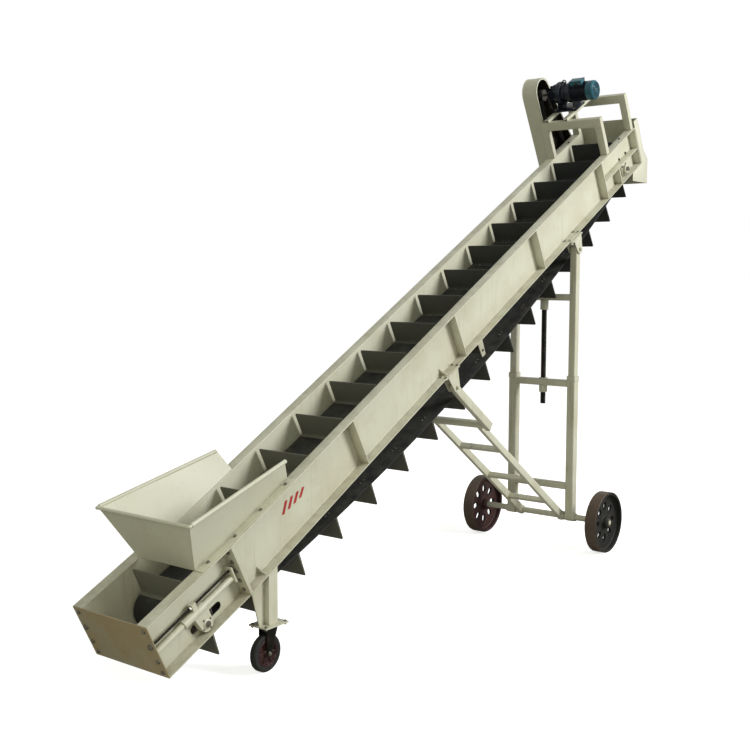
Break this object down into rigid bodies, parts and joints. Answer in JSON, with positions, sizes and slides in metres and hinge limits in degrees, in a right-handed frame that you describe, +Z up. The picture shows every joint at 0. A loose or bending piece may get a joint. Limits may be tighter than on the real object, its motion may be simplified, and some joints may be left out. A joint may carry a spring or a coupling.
{
  "type": "belt conveyor",
  "caption": "Wheeled inclined belt conveyor: cleated belt between channel sides, hopper, drive guard, discharge chute and screw jack stand.",
  "frame": {"origin": "on the ground under the middle of the overall box", "axes": "+X from the loading end to the discharge end, +Y to the left, +Z up"},
  "size_m": [7.4202, 1.566, 4.9334],
  "materials": {
    "cream_paint": "satin enamel, weathered",
    "black_rubber": "matt",
    "dark_steel": "oiled dark steel",
    "motor_blue": "satin enamel",
    "motor_body": "satin enamel",
    "wheel_iron": "painted casting, worn",
    "hub_red": "worn enamel"
  },
  "bodies": {
    "trough": {"tail_side_near": "cream_paint", "tail_side_far": "cream_paint", "main_side_near": "cream_paint", "main_side_far": "cream_paint", "tail_plate": "cream_paint", "tail_deck": "cream_paint", "main_deck": "cream_paint", "takeup_guide_near": "cream_paint", "takeup_guide_far": "cream_paint", "takeup_block_near": "cream_paint", "takeup_block_far": "cream_paint", "head_bearing_near": "cream_paint", "head_bearing_far": "cream_paint", "hopper": "cream_paint", "motor_portal_low": "cream_paint", "motor_portal_high": "cream_paint", "motor_rail_near": "cream_paint", "motor_rail_far": "cream_paint", "belt_guard": "cream_paint", "discharge_chute": "cream_paint", "brace_bracket_near": "cream_paint", "brace_bracket_far": "cream_paint", "leg_bracket_near": "cream_paint", "leg_bracket_far": "cream_paint", "caster_post": "cream_paint", "cleated_belt": "black_rubber", "drive_belt": "black_rubber", "tail_drum": "dark_steel", "head_drum": "dark_steel", "takeup_screw_near": "dark_steel", "takeup_screw_far": "dark_steel", "drive_sheave": "dark_steel", "driven_sheave": "dark_steel", "return_roller": "dark_steel", "motor_fan_cover": "motor_blue", "terminal_box": "motor_blue", "motor": "motor_body"},
    "caster_swivel": {"caster_fork": "dark_steel"},
    "caster_wheel": {"caster_tyre": "black_rubber", "caster_hub": "hub_red"},
    "stand_brace": {"ladder_brace": "cream_paint", "axle": "dark_steel"},
    "stand_outer_leg": {"outer_leg_frame": "cream_paint"},
    "stand_inner_leg": {"inner_leg_frame": "cream_paint", "jack_screw": "dark_steel"},
    "wheel_near": {"rear_wheel_near": "wheel_iron"},
    "wheel_far": {"rear_wheel_far": "wheel_iron"}
  },
  "joints": [
    {"name": "caster_swivel", "type": "hinge", "parent": "trough", "child": "caster_swivel", "pos_m": [-2.55475, -0.31, 0.3], "axis": [0, 0, 1], "continuous": true},
    {"name": "caster_wheel_spin", "type": "hinge", "parent": "caster_swivel", "child": "caster_wheel", "pos_m": [-2.59275, -0.31, 0.1356], "axis": [0, 1, 0], "continuous": true},
    {"name": "brace_hinge", "type": "hinge", "parent": "trough", "child": "stand_brace", "pos_m": [-0.25487, 0, 1.82502], "axis": [0, 1, 0], "range_deg": [-10, 2.5]},
    {"name": "leg_hinge", "type": "hinge", "parent": "stand_brace", "child": "stand_outer_leg", "pos_m": [1.91566, 0, 0.3045], "axis": [0, 1, 0], "range_deg": [-1.2, 4.5]},
    {"name": "jack_slide", "type": "slide", "parent": "stand_outer_leg", "child": "stand_inner_leg", "axis": [0, 0, 1], "range_m": [-0.4, 0.1]},
    {"name": "near_wheel_spin", "type": "hinge", "parent": "stand_brace", "child": "wheel_near", "pos_m": [1.91566, -0.713, 0.3045], "axis": [0, 1, 0], "continuous": true},
    {"name": "far_wheel_spin", "type": "hinge", "parent": "stand_brace", "child": "wheel_far", "pos_m": [1.91566, 0.713, 0.3045], "axis": [0, 1, 0], "continuous": true}
  ],
  "couplings": [
    {"joint": "leg_hinge", "follows": "brace_hinge", "ratio": -0.4387},
    {"joint": "jack_slide", "follows": "brace_hinge", "m_per_rad": 2.213}
  ]
}
